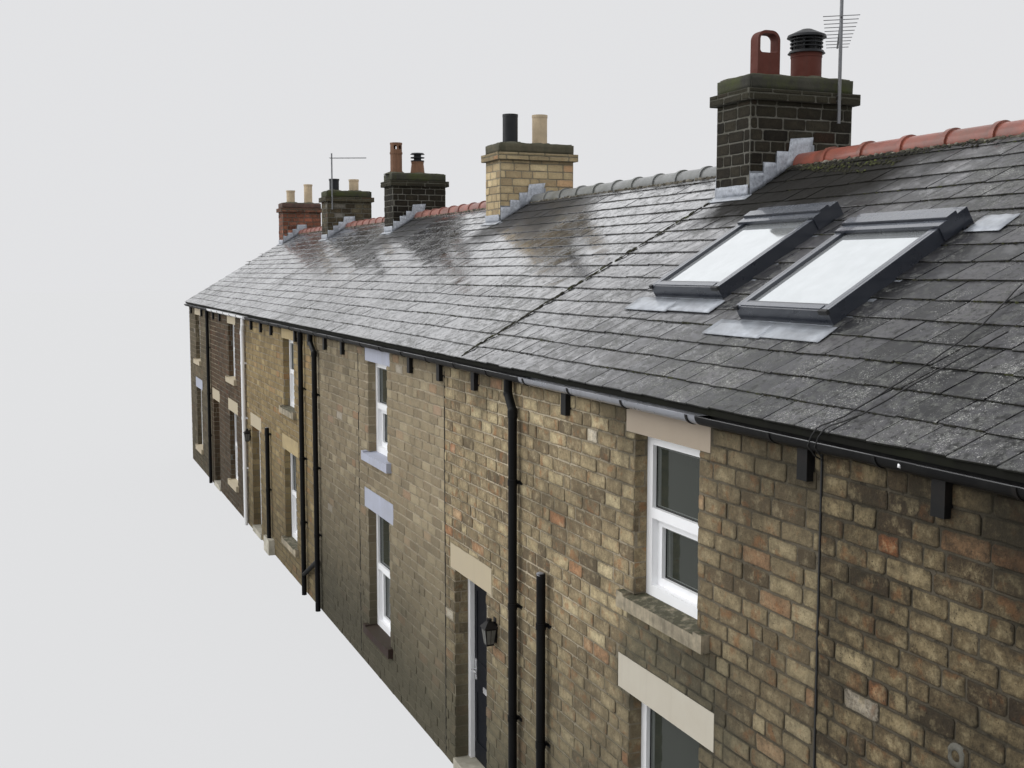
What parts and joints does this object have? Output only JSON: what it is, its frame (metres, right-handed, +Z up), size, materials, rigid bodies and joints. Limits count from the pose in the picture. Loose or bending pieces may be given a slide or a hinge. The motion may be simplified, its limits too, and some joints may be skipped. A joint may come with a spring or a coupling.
{
  "type": "terraced house row",
  "caption": "Row of two-storey brick terraced houses with one slate roof, chimney stacks, roof windows, gutters and downpipes, whose front doors open inwards",
  "frame": {"origin": "centre of the bounding box at ground level", "axes": "X along the row towards the near end, Y from the front to the rear so that the front faces -Y, Z up"},
  "size_m": [35.86, 6.324, 8.5],
  "materials": {
    "brick_near": "matte",
    "brick_buff": "matte",
    "brick_pale": "matte",
    "brick_yellow": "matte",
    "brick_brown": "matte",
    "brick_cream": "matte",
    "brick_dark": "matte",
    "brick_red": "matte",
    "concrete": "matte",
    "slate": "satin",
    "tile_orange": "matte",
    "tile_grey": "matte",
    "tile_red": "matte",
    "lead": "matte",
    "clay_red": "matte",
    "clay_pale": "matte",
    "clay_black": "satin",
    "metal_grey": "satin",
    "paint_cream": "matte",
    "paint_blue": "matte",
    "stone_ochre": "matte",
    "stone_sill": "matte",
    "paint_red": "matte",
    "plastic_white": "satin",
    "glass": "gloss",
    "step_stone": "matte",
    "door_dark": "satin",
    "door_brown": "satin",
    "chrome_trim": "gloss",
    "plastic_black": "satin",
    "plastic_grey": "satin",
    "iron_black": "satin",
    "frame_anthracite": "satin",
    "cable_black": "matte"
  },
  "bodies": {
    "house_row": {"floors": "concrete", "party_walls": "brick_pale", "end_walls": "brick_buff", "front_wall_1": "brick_near", "front_wall_2": "brick_buff", "front_wall_3": "brick_pale", "front_wall_4": "brick_yellow", "front_wall_5": "brick_brown", "front_wall_6": "brick_cream", "door_piers": "brick_buff", "walls_over_doors": "brick_buff", "rear_walls": "brick_pale", "slates_front": "slate", "slates_window_bay": "slate", "slates_rear": "slate", "ridge_orange": "tile_orange", "ridge_grey": "tile_grey", "ridge_red": "tile_red", "chimneys_dark": "brick_dark", "chimney_tan": "brick_yellow", "chimney_brown": "brick_brown", "chimney_red": "brick_red", "chimney_flashings": "lead", "pots_red": "clay_red", "pots_pale": "clay_pale", "pots_black": "clay_black", "aerials": "metal_grey", "lintels_cream": "paint_cream", "lintels_blue": "paint_blue", "lintels_stone": "stone_ochre", "sills_stone": "stone_sill", "sill_blue": "paint_blue", "sill_red": "paint_red", "sills_cream": "paint_cream", "window_frames": "plastic_white", "window_glass": "glass", "rear_window_frames": "plastic_white", "rear_window_glass": "glass", "door_frames": "plastic_white", "door_hinges": "metal_grey", "fixed_doors": "door_dark", "thresholds": "step_stone", "gutters_black": "plastic_black", "gutter_grey": "plastic_grey", "gutter_white": "plastic_white", "gutter_brackets": "iron_black", "downpipes_black": "plastic_black", "downpipe_white": "plastic_white", "roof_window_frames": "frame_anthracite", "roof_window_glass": "glass", "roof_window_flashings": "lead", "lanterns": "iron_black", "wall_cable": "cable_black"},
    "door_leaf_3": {"door_3": "door_dark", "door_3_fittings": "chrome_trim"},
    "door_leaf_5": {"door_5": "door_brown", "door_5_fittings": "chrome_trim"},
    "door_leaf_6": {"door_6": "door_brown", "door_6_fittings": "chrome_trim"}
  },
  "joints": [
    {"name": "door_3_hinge", "type": "hinge", "parent": "house_row", "child": "door_leaf_3", "pos_m": [5.009, -2.781, 0.118], "axis": [0, 0, -1], "range_deg": [0, 88]},
    {"name": "door_5_hinge", "type": "hinge", "parent": "house_row", "child": "door_leaf_5", "pos_m": [-7.251, -2.781, 0.118], "axis": [0, 0, -1], "range_deg": [0, 88]},
    {"name": "door_6_hinge", "type": "hinge", "parent": "house_row", "child": "door_leaf_6", "pos_m": [-12.691, -2.781, 0.118], "axis": [0, 0, -1], "range_deg": [0, 88]}
  ]
}
